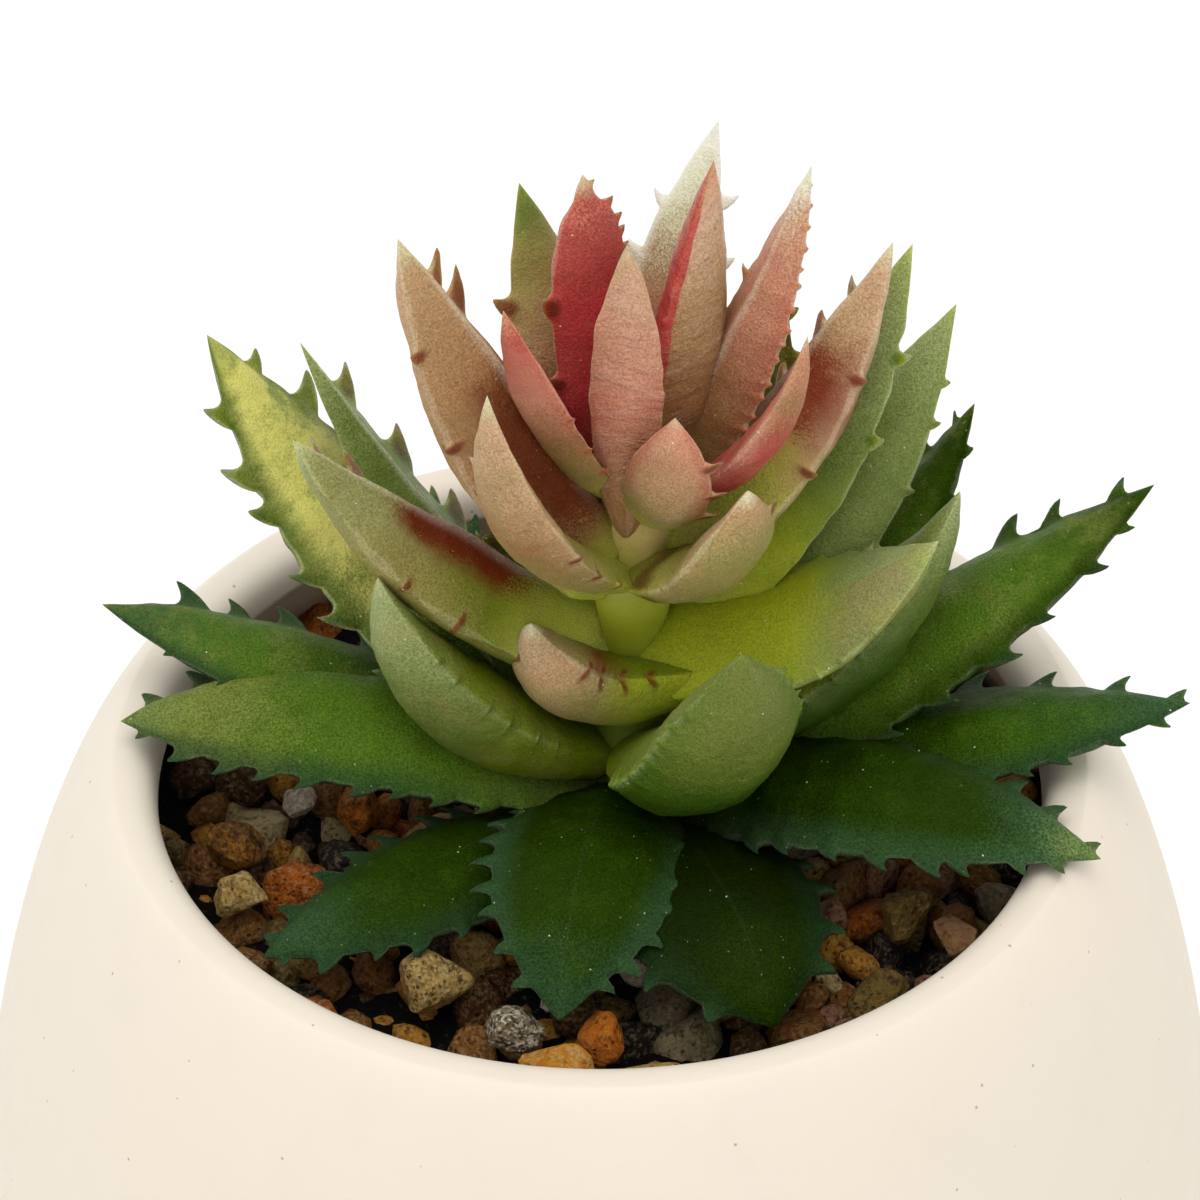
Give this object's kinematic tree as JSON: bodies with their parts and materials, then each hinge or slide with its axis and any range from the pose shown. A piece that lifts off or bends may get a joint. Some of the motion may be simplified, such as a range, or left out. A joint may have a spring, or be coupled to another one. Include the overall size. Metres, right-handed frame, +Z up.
{
  "type": "potted toothed succulent",
  "caption": "Upright succulent rosette of pointed, toothed leaves fading from dark green to coral, set in gravel in a plain egg-shaped ceramic pot.",
  "frame": {"origin": "middle of the pot's flat foot", "axes": "+Z up through the plant; -Y is the front, the side the picture shows; +X to the viewer's right"},
  "size_m": [0.101, 0.101, 0.13],
  "materials": {
    "pot_ceramic": "matte unglazed cream stoneware with sparse fine specks",
    "potting_soil": "dark brown crumbly mix of peat and bark",
    "gravel": "mixed brown, ochre and grey washed gravel, slightly waxy",
    "large_stone": "single larger gravel stones in mixed natural colours",
    "stem_green": "soft translucent yellow-green moulded plastic",
    "leaf_dark_green": "satin dark green with blue-green toothed edges",
    "leaf_bright_green": "satin mid green, yellower at the root",
    "leaf_lime": "satin yellow-green with a red-brown blush",
    "leaf_blush": "satin tan to pink with dark red shading towards the root",
    "leaf_coral": "slightly translucent coral red and salmon"
  },
  "bodies": {
    "root": {"pot": "pot_ceramic", "soil": "potting_soil", "gravel_bed": "gravel", "stem": "stem_green", "leaf_skirt_1": "leaf_dark_green", "leaf_skirt_2": "leaf_dark_green", "leaf_skirt_3": "leaf_dark_green", "leaf_skirt_4": "leaf_dark_green", "leaf_skirt_5": "leaf_dark_green", "leaf_skirt_6": "leaf_dark_green", "leaf_skirt_7": "leaf_dark_green", "leaf_lower_1": "leaf_dark_green", "leaf_lower_2": "leaf_dark_green", "leaf_lower_3": "leaf_dark_green", "leaf_lower_4": "leaf_dark_green", "leaf_lower_5": "leaf_dark_green", "leaf_lower_6": "leaf_dark_green", "leaf_lower_7": "leaf_dark_green", "leaf_middle_1": "leaf_bright_green", "leaf_middle_2": "leaf_bright_green", "leaf_middle_3": "leaf_bright_green", "leaf_middle_4": "leaf_bright_green", "leaf_middle_5": "leaf_bright_green", "leaf_middle_6": "leaf_bright_green", "leaf_middle_7": "leaf_bright_green", "leaf_upper_1": "leaf_lime", "leaf_upper_2": "leaf_lime", "leaf_upper_3": "leaf_lime", "leaf_upper_4": "leaf_lime", "leaf_upper_5": "leaf_lime", "leaf_upper_6": "leaf_lime", "leaf_inner_1": "leaf_blush", "leaf_inner_2": "leaf_blush", "leaf_inner_3": "leaf_blush", "leaf_inner_4": "leaf_blush", "leaf_inner_5": "leaf_blush", "leaf_inner_6": "leaf_blush", "leaf_inner_7": "leaf_blush", "leaf_crown_1": "leaf_coral", "leaf_crown_2": "leaf_coral", "leaf_crown_3": "leaf_coral", "leaf_crown_4": "leaf_coral", "leaf_crown_5": "leaf_coral", "leaf_crown_6": "leaf_coral", "leaf_crown_7": "leaf_coral", "stone_granite_front": "large_stone", "stone_brown_front": "large_stone", "stone_ochre_front": "large_stone", "stone_orange_front": "large_stone", "stone_tan_front": "large_stone", "stone_beige_left": "large_stone", "stone_dark_left": "large_stone", "stone_white_left": "large_stone", "stone_amber_left": "large_stone", "stone_egg_right": "large_stone", "stone_pink_right": "large_stone", "stone_olive_right": "large_stone"}
  },
  "joints": []
}
